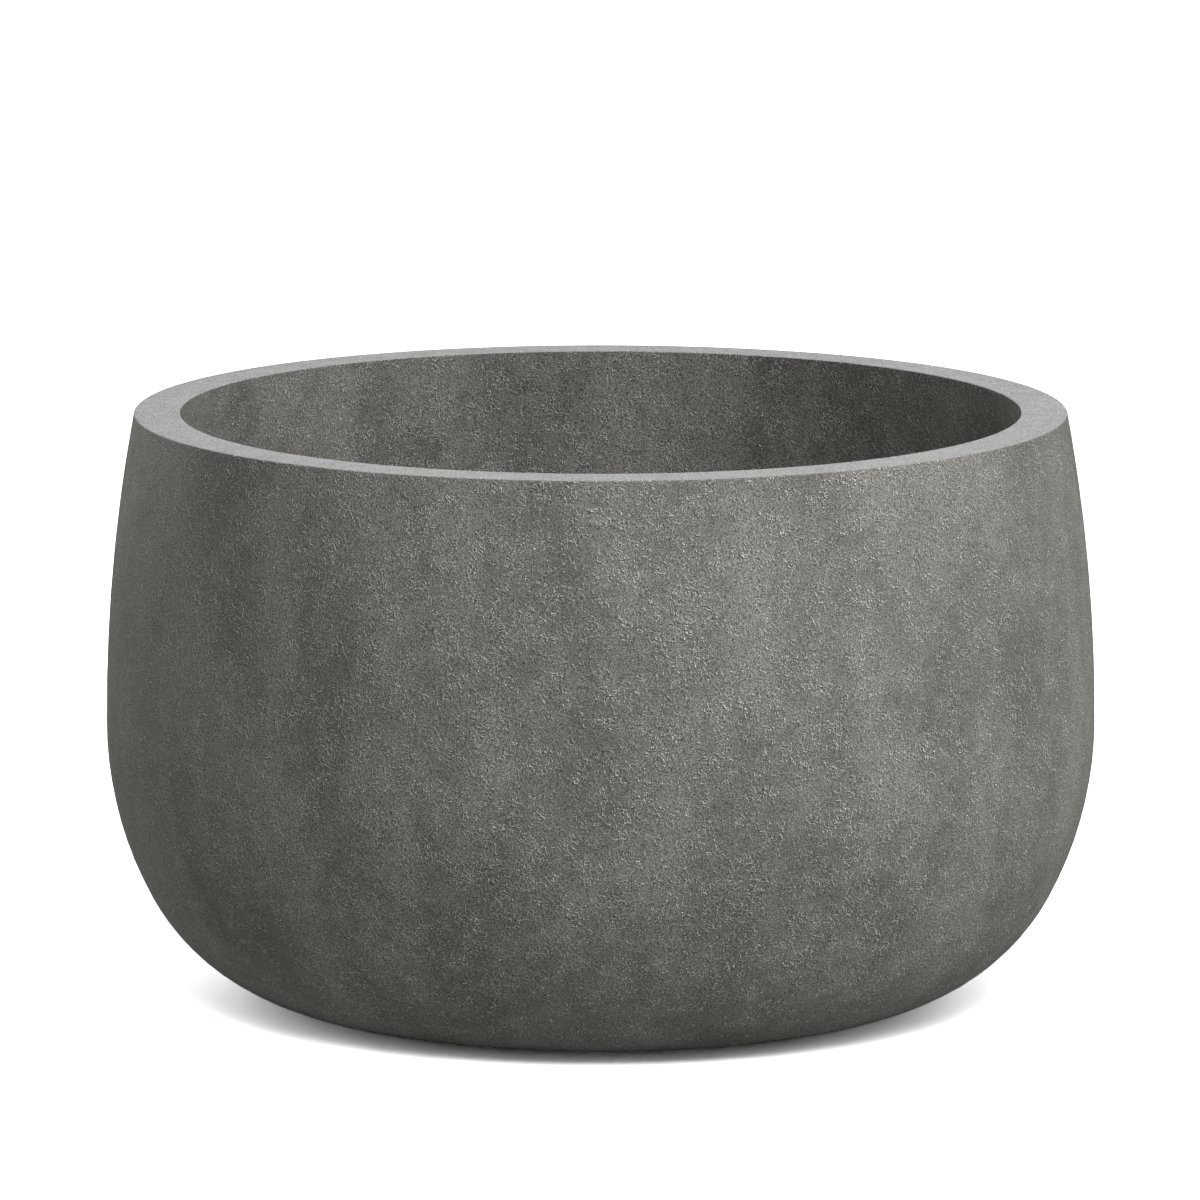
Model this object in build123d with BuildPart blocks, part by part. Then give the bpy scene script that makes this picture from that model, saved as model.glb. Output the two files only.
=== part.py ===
from build123d import *
from math import asin, cos, degrees, radians, sin
import os

os.makedirs("parts", exist_ok=True)

# A round, bellied floor planter in stone-finished glass fibre: two laminated skins with a
# foam core between them, a flat rim, a drain fitting with a pull-out stopper, and four feet.
# Millimetres. Z is the planter's axis and z = 0 is the floor it stands on.

# Outside form
belly_radius = 305.0  # the widest ring
belly_rise = 174.5  # the widest ring above the moulded base
rim_rise = 367.0  # the flat rim above the moulded base
rim_tuck = 18.0  # how far the rim stands in from the widest ring
shoulder_radius = 223.0  # the arc that starts down from the widest ring
shoulder_turn = 28.0  # degrees of that arc, before the tighter knuckle arc takes over
rim_outer_round = 1.2
rim_inner_round = 0.5

# Wall build-up
wall = 28.0  # outside to inside, the same in the side and the floor
skin = 4.0  # each laminated skin
bond_line = 0.2  # resin between a skin and the core
rim_flange = 5.0  # thickness of the flat rim
rim_ring_depth = 20.0
board_inset = 12.0  # edge of the floor board inside the flat base

# Feet
pad_count = 4
pad_radius = 12.5
pad_stand = 3.0  # how far a pad lifts the moulded base off the floor
pocket_depth = 1.5
pocket_clearance = 0.25
pad_inset = 1.0  # edge of a pad inside the flat base
pad_round = 0.8

# Drain fitting
bore_radius = 12.0
seat_radius = 14.0  # mouth of the tapered seat
seat_depth = 14.0
barrel_radius = 17.5
floor_hole_clearance = 1.0
flange_radius = 27.0
flange_thickness = 4.0
flange_round = 1.2
gasket_thickness = 2.0
gasket_clearance = 0.5
nut_width = 50.0  # across the flats
nut_thickness = 7.0
nut_chamfer = 1.0
thread_clearance = 0.15
thread_tail = 3.0  # barrel left below the nut
recess_radius = 42.0
recess_headroom = 2.0  # barrel end above the moulded base

# Stopper
stopper_clearance = 0.3
stopper_head_radius = 19.0
stopper_head = 4.0
stopper_reach = 12.0  # how far the taper goes into the seat
stem_radius = 4.5
stem_height = 11.0
knob_radius = 9.0
knob_height = 7.0
stopper_round = 1.5

# Heights and centres that follow from the sizes above
base_z = pad_stand
belly_z = base_z + belly_rise
rim_z = base_z + rim_rise
flange_under_z = rim_z - rim_flange
ring_under_z = flange_under_z - rim_ring_depth
floor_z = base_z + wall

upper_radius = (rim_tuck**2 + (rim_rise - belly_rise) ** 2) / (2 * rim_tuck)
turn_sin = sin(radians(shoulder_turn))
turn_cos = cos(radians(shoulder_turn))
knuckle_radius = (belly_rise - shoulder_radius * turn_sin) / (1 - turn_sin)
flat_radius = belly_radius - shoulder_radius + (shoulder_radius - knuckle_radius) * turn_cos
upper_centre = (belly_radius - upper_radius, belly_z)
shoulder_centre = (belly_radius - shoulder_radius, belly_z)
knuckle_centre = (flat_radius, base_z + knuckle_radius)

board_radius = flat_radius - board_inset
pad_circle = flat_radius - pad_inset - pad_radius
floor_hole = barrel_radius + floor_hole_clearance
recess_depth = nut_thickness + thread_tail + recess_headroom
recess_top_z = base_z + recess_depth
core_outer = skin + bond_line
core_inner = wall - skin - bond_line
same_level = 0.01  # edges this close in height are at one level


def lean(depth, z):
    """Degrees up the wall's upper arc, set in by depth, at height z."""
    return degrees(asin((z - belly_z) / (upper_radius - depth)))


def wall_point(depth, z):
    """Point on the wall's upper arc, set in by depth, at height z."""
    reach = (upper_radius - depth) * cos(radians(lean(depth, z)))
    return (upper_centre[0] + reach, z)


def base_point(depth):
    """Point where the flat of the base begins, set in by depth."""
    return (flat_radius, base_z + depth)


def wall_arcs(depth, top_z):
    """The wall's side, set in by depth, from top_z down to the flat of the base."""
    CenterArc(upper_centre, upper_radius - depth, 0, lean(depth, top_z))
    CenterArc(shoulder_centre, shoulder_radius - depth, -shoulder_turn, shoulder_turn)
    CenterArc(knuckle_centre, knuckle_radius - depth, -90, 90 - shoulder_turn)


def upper_arc(depth, low_z, high_z):
    """A short stretch of the wall's upper arc, set in by depth."""
    start = lean(depth, low_z)
    CenterArc(upper_centre, upper_radius - depth, start, lean(depth, high_z) - start)


def circles_at(piece, z):
    """The piece's round edges at height z, the smallest first."""
    level = piece.edges().filter_by(GeomType.CIRCLE)
    return level.filter_by_position(Axis.Z, z - same_level, z + same_level).sort_by(SortBy.RADIUS)


# Outer shell: the stone-finished skin you see, with the flat rim turned in at the top, a recess
# underneath for the drain nut, and a shallow pocket for each foot
with BuildPart() as outer_shell:
    with BuildSketch(Plane.XZ):
        with BuildLine():
            wall_arcs(0, rim_z)
            Line(wall_point(0, rim_z), wall_point(wall, rim_z))
            upper_arc(wall, flange_under_z, rim_z)
            Line(wall_point(wall, flange_under_z), wall_point(skin, flange_under_z))
            wall_arcs(skin, flange_under_z)
            Polyline(
                base_point(skin),
                (recess_radius + skin, base_z + skin),
                (recess_radius + skin, recess_top_z + skin),
                (floor_hole, recess_top_z + skin),
                (floor_hole, recess_top_z),
                (recess_radius, recess_top_z),
                (recess_radius, base_z),
                base_point(0),
            )
        make_face()
    revolve(axis=Axis.Z)
    fillet(circles_at(outer_shell, rim_z)[-1], rim_outer_round)
    fillet(circles_at(outer_shell, rim_z)[0], rim_inner_round)
    with BuildSketch(Plane.XY.offset(base_z)):
        with PolarLocations(pad_circle, pad_count, start_angle=-90):
            Circle(pad_radius + pocket_clearance)
    extrude(amount=pocket_depth, mode=Mode.SUBTRACT)
outer_shell.part.label = "outer_shell"
export_step(outer_shell.part, "parts/outer_shell.step")


# Inner shell: the skin that holds the soil, bonded up under the rim
with BuildPart() as inner_shell:
    with BuildSketch(Plane.XZ):
        with BuildLine():
            wall_arcs(wall - skin, flange_under_z)
            Line(wall_point(wall - skin, flange_under_z), wall_point(wall, flange_under_z))
            wall_arcs(wall, flange_under_z)
            Polyline(
                base_point(wall),
                (floor_hole, floor_z),
                (floor_hole, floor_z - skin),
                base_point(wall - skin),
            )
        make_face()
    revolve(axis=Axis.Z)
inner_shell.part.label = "inner_shell"
export_step(inner_shell.part, "parts/inner_shell.step")


# Rim ring: stiffens the mouth, glued under the flat rim between the two skins
with BuildPart() as rim_ring:
    with BuildSketch(Plane.XZ):
        with BuildLine():
            upper_arc(core_outer, ring_under_z, flange_under_z)
            Line(wall_point(core_outer, flange_under_z), wall_point(core_inner, flange_under_z))
            upper_arc(core_inner, ring_under_z, flange_under_z)
            Line(wall_point(core_inner, ring_under_z), wall_point(core_outer, ring_under_z))
        make_face()
    revolve(axis=Axis.Z)
rim_ring.part.label = "rim_ring"
export_step(rim_ring.part, "parts/rim_ring.step")


# Foam core: keeps the skins apart from the rim ring down to the edge of the floor board
with BuildPart() as foam_core:
    with BuildSketch(Plane.XZ):
        with BuildLine():
            wall_arcs(core_outer, ring_under_z)
            Line(wall_point(core_outer, ring_under_z), wall_point(core_inner, ring_under_z))
            wall_arcs(core_inner, ring_under_z)
            Polyline(
                base_point(core_inner),
                (board_radius, base_z + core_inner),
                (board_radius, base_z + core_outer),
                base_point(core_outer),
            )
        make_face()
    revolve(axis=Axis.Z)
foam_core.part.label = "foam_core"
export_step(foam_core.part, "parts/foam_core.step")


# Floor board: the stiff disc inside the floor that the drain fitting clamps through
with BuildPart() as floor_board:
    with BuildSketch(Plane.XZ):
        with BuildLine():
            Polyline(
                (floor_hole, recess_top_z + skin),
                (recess_radius + skin, recess_top_z + skin),
                (recess_radius + skin, base_z + skin),
                (board_radius, base_z + skin),
                (board_radius, floor_z - skin),
                (floor_hole, floor_z - skin),
                close=True,
            )
        make_face()
    revolve(axis=Axis.Z)
floor_board.part.label = "floor_board"
export_step(floor_board.part, "parts/floor_board.step")


# Drain bushing: a flanged tube through the floor, with a tapered seat for the stopper
gasket_top_z = floor_z + gasket_thickness
flange_top_z = gasket_top_z + flange_thickness
nut_bottom_z = recess_top_z - nut_thickness
barrel_end_z = nut_bottom_z - thread_tail
with BuildPart() as drain_bushing:
    with BuildSketch(Plane.XZ):
        with BuildLine():
            Polyline(
                (bore_radius, barrel_end_z),
                (barrel_radius, barrel_end_z),
                (barrel_radius, gasket_top_z),
                (flange_radius, gasket_top_z),
                (flange_radius, flange_top_z),
                (seat_radius, flange_top_z),
                (bore_radius, flange_top_z - seat_depth),
                close=True,
            )
        make_face()
    revolve(axis=Axis.Z)
    fillet(circles_at(drain_bushing, flange_top_z)[-1], flange_round)
drain_bushing.part.label = "drain_bushing"
export_step(drain_bushing.part, "parts/drain_bushing.step")


# Drain gasket: the rubber ring under the bushing's flange
with BuildPart() as drain_gasket:
    with BuildSketch(Plane.XY.offset(floor_z)):
        Circle(flange_radius)
        Circle(barrel_radius + gasket_clearance, mode=Mode.SUBTRACT)
    extrude(amount=gasket_thickness)
drain_gasket.part.label = "drain_gasket"
export_step(drain_gasket.part, "parts/drain_gasket.step")


# Drain nut: the hexagonal nut that pulls the bushing down, in the recess under the base
with BuildPart() as drain_nut:
    with BuildSketch(Plane.XY.offset(nut_bottom_z)):
        RegularPolygon(nut_width / 2, 6, major_radius=False)
    extrude(amount=nut_thickness)
    chamfer(drain_nut.edges().group_by(Axis.Z)[0], nut_chamfer)
    with BuildSketch(Plane.XY.offset(nut_bottom_z)):
        Circle(barrel_radius + thread_clearance)
    extrude(amount=nut_thickness, mode=Mode.SUBTRACT)
drain_nut.part.label = "drain_nut"
export_step(drain_nut.part, "parts/drain_nut.step")


# Drain stopper: a tapered rubber plug with a head and a knob to pull it out by
head_z = flange_top_z + stopper_clearance
head_top_z = head_z + stopper_head
stem_top_z = head_top_z + stem_height
knob_top_z = stem_top_z + knob_height
seat_slope = (seat_radius - bore_radius) / seat_depth
neck_radius = seat_radius - stopper_clearance
tip_radius = neck_radius - seat_slope * stopper_reach
with BuildPart() as drain_stopper:
    with BuildSketch(Plane.XZ):
        with BuildLine():
            Polyline(
                (0, flange_top_z - stopper_reach),
                (tip_radius, flange_top_z - stopper_reach),
                (neck_radius, flange_top_z),
                (neck_radius, head_z),
                (stopper_head_radius, head_z),
                (stopper_head_radius, head_top_z),
                (stem_radius, head_top_z),
                (stem_radius, stem_top_z),
                (knob_radius, stem_top_z),
                (knob_radius, knob_top_z),
                (0, knob_top_z),
                close=True,
            )
        make_face()
    revolve(axis=Axis.Z)
    fillet(circles_at(drain_stopper, knob_top_z), stopper_round)
    fillet(circles_at(drain_stopper, stem_top_z)[-1], stopper_round)
    fillet(circles_at(drain_stopper, head_top_z), stopper_round)
drain_stopper.part.label = "drain_stopper"
export_step(drain_stopper.part, "parts/drain_stopper.step")


# Foot pads: four rubber discs pressed into the pockets, the first at the front
pad_places = PolarLocations(pad_circle, pad_count, start_angle=-90).locations
for number, place in enumerate(pad_places, start=1):
    with BuildPart() as foot_pad:
        with BuildSketch(Plane.XY):
            with Locations(place.position):
                Circle(pad_radius)
        extrude(amount=pad_stand + pocket_depth)
        fillet(foot_pad.edges().group_by(Axis.Z)[0], pad_round)
    foot_pad.part.label = f"foot_pad_{number}"
    export_step(foot_pad.part, f"parts/foot_pad_{number}.step")
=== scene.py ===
import math

import bpy
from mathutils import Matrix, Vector

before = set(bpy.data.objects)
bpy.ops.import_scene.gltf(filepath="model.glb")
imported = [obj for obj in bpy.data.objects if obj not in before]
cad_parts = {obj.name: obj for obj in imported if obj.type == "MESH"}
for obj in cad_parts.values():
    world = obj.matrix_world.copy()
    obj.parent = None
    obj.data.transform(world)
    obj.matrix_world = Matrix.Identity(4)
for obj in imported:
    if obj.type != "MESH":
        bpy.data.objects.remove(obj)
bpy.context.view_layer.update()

# Camera: a long lens in front of the planter, above its rim, looking slightly down
IMAGE_PX = 1200
SENSOR_MM = 36.0
FOCAL_PX = 12025.0
CAMERA_BACK = 7.3195
CAMERA_HEIGHT = 1.4476
CAMERA_TILT = 0.16195
CAMERA_ASIDE = -0.0004
CAMERA_REACH = 200.0

# Light: the dome and one softbox light the floor, and its colours make it show white
DOME_LEVEL = 0.15
FLOOR_HALF = 40.0
FLOOR_SHOWN = (11.0, 11.1, 11.4, 1)
FLOOR_BOUNCE = 1.0
FLOOR_LAMP = "front"
LIGHT_TARGET = (0, 0, 0.2)
LIGHT_DISTANCE = 3.2
LIGHT_SIZE = 1.6
# Each softbox: degrees round from +X, degrees up, watts
SOFTBOXES = {
    "key": (-40, 32, 67.0),
    "front": (-85, 38, 36.0),
    "right": (-5, 12, 18.0),
    "back_left": (128, 15, 16.0),
    "top": (0, 90, 15.5),
}

# Noise lies mostly between these two values
MIDDLE = (0.3, 0.7)

# Stone colours, linear
STONE_DARK = (0.094, 0.093, 0.081, 1)
STONE_LIGHT = (0.195, 0.193, 0.171, 1)
# Painted highlight and painted shade for the two sides of each wrinkle
STONE_PAINTED_HIGHLIGHT = (0.68, 0.67, 0.63, 1)
STONE_PAINTED_SHADE = (0.0, 0.0, 0.0, 1)
# Painted sheen: the rim's top drawn lighter and neutral, standing in for the top light and reflection it
# catches
STONE_RIM_PAINTED_SHEEN = (0.385, 0.385, 0.39, 1)

# Stone mottling: large upright clouds and smaller patches share the tone
UPRIGHT = (1, 1, 0.4)
CLOUD_SIZE = 0.06
CLOUD_WARP = 0.3
CLOUD_SHARE = 0.6
PATCH_SIZE = 0.014
PATCH_SHARE = 0.4
STONE_ROUGH = (0.62, 0.78)

# Stone relief: wrinkles and grain are crisp in some places and fade to a quarter in others
CRISP_SIZE = 0.012
CRISP_RANGE = (0.38, 0.62)
CRISP_LEAST = 0.25
GRAIN_SIZE = 0.0013
GRAIN_DEPTH = 0.0004
SAND_SIZE = 0.0008
SAND_RANGE = (0.2, 0.8)
SAND_GAIN = (0.0, 2.0)
WRINKLE_SIZE = 0.0036
WRINKLE_WIDTH = 0.034
WRINKLE_TURN = 0.0015
WRINKLE_LIFT = 0.0004
WRINKLE_SHARE = 0.5
# Strength of the painted highlight and painted shade on the wrinkles
WRINKLE_PAINTED_HIGHLIGHT = 0.82
WRINKLE_PAINTED_SHADE = 0.85

# Rim smoothed by sanding, its colour lighter as a painted sheen from the top light: its finish begins just
# under its top face
RIM_FROM = 0.3696
RIM_TO = 0.36995
RIM_PAINTED_SHEEN = 0.7
RIM_CALM = 0.1
RIM_RELIEF = 0.15
RIM_SMOOTHER = 0.2


def grey(level):
    """A neutral colour."""
    return (level, level, level, 1)


def new_material(name):
    """A node material with only its shader, wired to the output."""
    material = bpy.data.materials.new(name)
    material.use_nodes = True
    tree = material.node_tree
    tree.nodes.clear()
    shader = tree.nodes.new("ShaderNodeBsdfPrincipled")
    output = tree.nodes.new("ShaderNodeOutputMaterial")
    tree.links.new(shader.outputs["BSDF"], output.inputs["Surface"])
    return material, tree, shader


def plug(tree, value, socket):
    """Link an output to a socket, or set the socket to a plain value."""
    if isinstance(value, bpy.types.NodeSocket):
        tree.links.new(value, socket)
    else:
        socket.default_value = value


def place(tree, stretch=(1, 1, 1), turn=0.0, lift=0.0):
    """Coordinates on the piece in metres, stretched along each axis, turned about Z and lifted."""
    coordinates = tree.nodes.new("ShaderNodeTexCoord")
    mapping = tree.nodes.new("ShaderNodeMapping")
    mapping.inputs["Scale"].default_value = stretch
    mapping.inputs["Rotation"].default_value = (0, 0, turn)
    mapping.inputs["Location"].default_value = (0, 0, lift)
    tree.links.new(coordinates.outputs["Object"], mapping.inputs["Vector"])
    return mapping.outputs["Vector"]


def height_of(tree):
    """Height on the piece in metres."""
    split = tree.nodes.new("ShaderNodeSeparateXYZ")
    tree.links.new(place(tree), split.inputs["Vector"])
    return split.outputs["Z"]


def noise(tree, where, size, detail=2.0, rough=0.5, warp=0.0):
    """Noise whose main features are about size metres across."""
    made = tree.nodes.new("ShaderNodeTexNoise")
    made.inputs["Scale"].default_value = 1 / size
    made.inputs["Detail"].default_value = detail
    made.inputs["Roughness"].default_value = rough
    made.inputs["Distortion"].default_value = warp
    tree.links.new(where, made.inputs["Vector"])
    return made.outputs["Fac"]


def cells(tree, where, size):
    """Distance from the middle of cells about size metres across."""
    made = tree.nodes.new("ShaderNodeTexVoronoi")
    made.inputs["Scale"].default_value = 1 / size
    tree.links.new(where, made.inputs["Vector"])
    return made.outputs["Distance"]


def span(tree, value, low, high, to_low=0.0, to_high=1.0):
    """Ease low..high over to_low..to_high, held at the ends."""
    made = tree.nodes.new("ShaderNodeMapRange")
    made.interpolation_type = "SMOOTHSTEP"
    made.inputs["From Min"].default_value = low
    made.inputs["From Max"].default_value = high
    made.inputs["To Min"].default_value = to_low
    made.inputs["To Max"].default_value = to_high
    tree.links.new(value, made.inputs["Value"])
    return made.outputs["Result"]


def sums(tree, operation, a, b=0.0):
    """One arithmetic step."""
    made = tree.nodes.new("ShaderNodeMath")
    made.operation = operation
    plug(tree, a, made.inputs[0])
    plug(tree, b, made.inputs[1])
    return made.outputs["Value"]


def weighed(tree, a, share_a, b, share_b):
    """Two values added, each by its share."""
    return sums(tree, "ADD", sums(tree, "MULTIPLY", a, share_a), sums(tree, "MULTIPLY", b, share_b))


def blend(tree, factor, a, b, mode="MIX"):
    """Mix two colours."""
    made = tree.nodes.new("ShaderNodeMix")
    made.data_type = "RGBA"
    made.blend_type = mode
    plug(tree, factor, made.inputs["Factor"])
    plug(tree, a, made.inputs["A"])
    plug(tree, b, made.inputs["B"])
    return made.outputs["Result"]


def relief(tree, height, depth):
    """Bump of depth metres."""
    made = tree.nodes.new("ShaderNodeBump")
    made.inputs["Strength"].default_value = 1.0
    made.inputs["Distance"].default_value = depth
    tree.links.new(height, made.inputs["Height"])
    return made.outputs["Normal"]


def wrinkles_at(tree, where):
    """Thin winding ridges: where a noise crosses its middle value."""
    off_middle = sums(tree, "ABSOLUTE", sums(tree, "SUBTRACT", noise(tree, where, WRINKLE_SIZE), 0.5))
    return span(tree, off_middle, 0.0, WRINKLE_WIDTH, 1.0, 0.0)


def emboss(tree, turn):
    """Wrinkles set against themselves a little further up and round, for painted light: positive gets a
    painted highlight, negative painted shade.
    """
    here = wrinkles_at(tree, place(tree))
    there = wrinkles_at(tree, place(tree, turn=turn, lift=WRINKLE_LIFT))
    return sums(tree, "SUBTRACT", here, there), here


def stone_finish(name, turn):
    """Trowelled mineral finish: cloudy mottling, sandy grain, wrinkles with a painted highlight on one side
    and painted shade on the other, set by turn, a rim smoothed by sanding with a painted sheen.
    """
    material, tree, shader = new_material(name)
    plain = place(tree)
    rim = span(tree, height_of(tree), RIM_FROM, RIM_TO)

    clouds = noise(tree, place(tree, UPRIGHT), CLOUD_SIZE, warp=CLOUD_WARP)
    patches = noise(tree, plain, PATCH_SIZE, rough=0.55)
    tone = weighed(tree, clouds, CLOUD_SHARE, patches, PATCH_SHARE)
    body = blend(tree, span(tree, tone, *MIDDLE), STONE_DARK, STONE_LIGHT)

    crisp = span(tree, noise(tree, plain, CRISP_SIZE, rough=0.6), *CRISP_RANGE, CRISP_LEAST, 1.0)
    grain = noise(tree, plain, GRAIN_SIZE, 1.0, 0.6)
    sand = noise(tree, plain, SAND_SIZE, 1.0, 0.8)
    painted_light_side, wrinkles = emboss(tree, turn)
    # Painted highlight on one side of each wrinkle and painted shade on the other
    lit = sums(tree, "MULTIPLY", sums(tree, "MAXIMUM", painted_light_side), crisp)
    unlit = sums(tree, "MULTIPLY", sums(tree, "MAXIMUM", sums(tree, "MULTIPLY", painted_light_side, -1.0)), crisp)
    heights = weighed(tree, wrinkles, WRINKLE_SHARE, grain, crisp)
    flatter = sums(tree, "MULTIPLY", heights, span(tree, rim, 0, 1, 1.0, RIM_RELIEF))
    tree.links.new(relief(tree, flatter, GRAIN_DEPTH), shader.inputs["Normal"])

    # Painted shade, then painted highlight, laid into the stone colour
    shaded = blend(tree, sums(tree, "MULTIPLY", unlit, WRINKLE_PAINTED_SHADE), body, STONE_PAINTED_SHADE)
    with_painted_highlight = blend(tree, sums(tree, "MULTIPLY", lit, WRINKLE_PAINTED_HIGHLIGHT), shaded, STONE_PAINTED_HIGHLIGHT)
    # Painted sheen on the rim's top
    with_painted_sheen = blend(tree, sums(tree, "MULTIPLY", rim, RIM_PAINTED_SHEEN), with_painted_highlight, STONE_RIM_PAINTED_SHEEN)
    gain = span(tree, sand, *SAND_RANGE, *SAND_GAIN)
    calm = sums(tree, "MULTIPLY", rim, RIM_CALM)
    evened = sums(tree, "ADD", sums(tree, "MULTIPLY", gain, sums(tree, "SUBTRACT", 1.0, calm)), calm)
    tree.links.new(blend(tree, 1.0, with_painted_sheen, evened, "MULTIPLY"), shader.inputs["Base Color"])
    rough = span(tree, patches, *MIDDLE, *STONE_ROUGH)
    smoother = sums(tree, "MULTIPLY", rim, RIM_SMOOTHER)
    tree.links.new(sums(tree, "SUBTRACT", rough, smoother), shader.inputs["Roughness"])
    return material


def rubber(name, colour):
    """Matt moulded rubber with a slight bloom and fine texture."""
    bloom_size, texture_size, texture_depth = 0.012, 0.0006, 0.00008
    paler = tuple(min(1, c * 1.6 + 0.01) for c in colour[:3]) + (1,)
    material, tree, shader = new_material(name)
    plain = place(tree)
    bloom = noise(tree, plain, bloom_size, 3.0, 0.6)
    tree.links.new(blend(tree, span(tree, bloom, 0.4, 0.75), colour, paler), shader.inputs["Base Color"])
    tree.links.new(span(tree, bloom, *MIDDLE, 0.6, 0.85), shader.inputs["Roughness"])
    tree.links.new(relief(tree, noise(tree, plain, texture_size), texture_depth), shader.inputs["Normal"])
    return material


def drain_plastic():
    """Black moulded nylon, slightly worn."""
    wear_size, texture_size, texture_depth = 0.006, 0.0004, 0.00004
    dark, worn = (0.018, 0.018, 0.019, 1), (0.05, 0.05, 0.05, 1)
    material, tree, shader = new_material("drain_plastic")
    plain = place(tree)
    wear = noise(tree, plain, wear_size, 4.0, 0.65)
    tree.links.new(blend(tree, span(tree, wear, 0.55, 0.8), dark, worn), shader.inputs["Base Color"])
    tree.links.new(span(tree, wear, *MIDDLE, 0.35, 0.55), shader.inputs["Roughness"])
    tree.links.new(relief(tree, noise(tree, plain, texture_size), texture_depth), shader.inputs["Normal"])
    return material


def foam():
    """Pale closed-cell foam."""
    bubble_size, bubble_depth = 0.0012, 0.0002
    pale, deep = (0.74, 0.66, 0.46, 1), (0.58, 0.5, 0.33, 1)
    material, tree, shader = new_material("foam")
    bubbles = cells(tree, place(tree), bubble_size)
    tree.links.new(blend(tree, span(tree, bubbles, 0.1, 0.6), pale, deep), shader.inputs["Base Color"])
    tree.links.new(relief(tree, bubbles, bubble_depth), shader.inputs["Normal"])
    shader.inputs["Roughness"].default_value = 0.9
    return material


def plywood():
    """Birch plywood: plies across the thickness, grain along it."""
    ply_size, ply_share, ply_stretch = 0.0016, 0.6, (0.02, 0.02, 1)
    grain_size, grain_share, grain_stretch = 0.003, 0.4, (0.08, 1, 1)
    grain_depth = 0.0002
    pale, deep = (0.56, 0.38, 0.21, 1), (0.3, 0.17, 0.08, 1)
    material, tree, shader = new_material("plywood")
    plies = noise(tree, place(tree, ply_stretch), ply_size, 0.0)
    grain = noise(tree, place(tree, grain_stretch), grain_size, 3.0, 0.6)
    mixed = weighed(tree, plies, ply_share, grain, grain_share)
    tree.links.new(blend(tree, span(tree, mixed, 0.35, 0.65), pale, deep), shader.inputs["Base Color"])
    tree.links.new(relief(tree, grain, grain_depth), shader.inputs["Normal"])
    shader.inputs["Roughness"].default_value = 0.7
    return material


def finish_nodes():
    """Give every piece of the planter its material."""
    black = rubber("rubber", grey(0.02))
    pad = rubber("pad_rubber", grey(0.07))
    wood = plywood()
    plastic = drain_plastic()
    finishes = {
        "outer_shell": stone_finish("stone_finish", WRINKLE_TURN),
        "inner_shell": stone_finish("stone_finish_inside", -WRINKLE_TURN),
        "rim_ring": wood,
        "floor_board": wood,
        "foam_core": foam(),
        "drain_bushing": plastic,
        "drain_nut": plastic,
        "drain_gasket": black,
        "drain_stopper": black,
    }
    for name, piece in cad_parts.items():
        piece.data.materials.clear()
        piece.data.materials.append(finishes.get(name, pad))


def path_colour(tree, kind, normal, special):
    """One colour for rays of one kind and another for the rest."""
    path = tree.nodes.new("ShaderNodeLightPath")
    return blend(tree, path.outputs[kind], normal, special)


def make_floor():
    """A plain pale floor that shows white and keeps the planter's shadow."""
    near, far = -FLOOR_HALF, FLOOR_HALF
    mesh = bpy.data.meshes.new("floor")
    mesh.from_pydata([(near, near, 0), (far, near, 0), (far, far, 0), (near, far, 0)], [], [(0, 1, 2, 3)])
    floor = bpy.data.objects.new("floor", mesh)
    bpy.context.scene.collection.objects.link(floor)
    material = bpy.data.materials.new("floor")
    material.use_nodes = True
    tree = material.node_tree
    tree.nodes.clear()
    matt = tree.nodes.new("ShaderNodeBsdfDiffuse")
    output = tree.nodes.new("ShaderNodeOutputMaterial")
    shown = path_colour(tree, "Is Camera Ray", grey(FLOOR_BOUNCE), FLOOR_SHOWN)
    tree.links.new(shown, matt.inputs["Color"])
    tree.links.new(matt.outputs["BSDF"], output.inputs["Surface"])
    mesh.materials.append(material)
    return floor


def make_world():
    """White where it is seen or mirrored, a low even dome of light elsewhere."""
    world = bpy.data.worlds.new("studio")
    bpy.context.scene.world = world
    world.use_nodes = True
    tree = world.node_tree
    tree.nodes.clear()
    background = tree.nodes.new("ShaderNodeBackground")
    output = tree.nodes.new("ShaderNodeOutputWorld")
    dome = path_colour(tree, "Is Diffuse Ray", grey(1), grey(DOME_LEVEL))
    tree.links.new(dome, background.inputs["Color"])
    tree.links.new(background.outputs["Background"], output.inputs["Surface"])


def make_softboxes(floor):
    """Square lamps aimed at the planter; only one of them lights the floor too."""
    all_but_floor = bpy.data.collections.new("lit_by_softboxes")
    all_but_floor.objects.link(floor)
    all_but_floor.collection_objects[0].light_linking.link_state = "EXCLUDE"
    for name, (around, up, power) in SOFTBOXES.items():
        lamp = bpy.data.lights.new(name, "AREA")
        lamp.shape = "SQUARE"
        lamp.size = LIGHT_SIZE
        lamp.energy = power
        holder = bpy.data.objects.new(name, lamp)
        bpy.context.scene.collection.objects.link(holder)
        azimuth, height = math.radians(around), math.radians(up)
        flat = math.cos(height)
        towards = Vector((flat * math.cos(azimuth), flat * math.sin(azimuth), math.sin(height)))
        holder.location = Vector(LIGHT_TARGET) + LIGHT_DISTANCE * towards
        holder.rotation_euler = towards.to_track_quat("Z", "Y").to_euler()
        if name != FLOOR_LAMP:
            holder.light_linking.receiver_collection = all_but_floor


def make_camera():
    """The photograph's viewpoint, with no shift."""
    data = bpy.data.cameras.new("camera")
    data.sensor_width = SENSOR_MM
    data.lens = FOCAL_PX / IMAGE_PX * SENSOR_MM
    data.clip_end = CAMERA_REACH
    camera = bpy.data.objects.new("camera", data)
    bpy.context.scene.collection.objects.link(camera)
    camera.location = (CAMERA_ASIDE, -CAMERA_BACK, CAMERA_HEIGHT)
    camera.rotation_euler = (math.pi / 2 - CAMERA_TILT, 0, 0)
    bpy.context.scene.camera = camera


finish_nodes()
make_world()
make_softboxes(make_floor())
make_camera()
bpy.context.scene.view_settings.view_transform = "Standard"
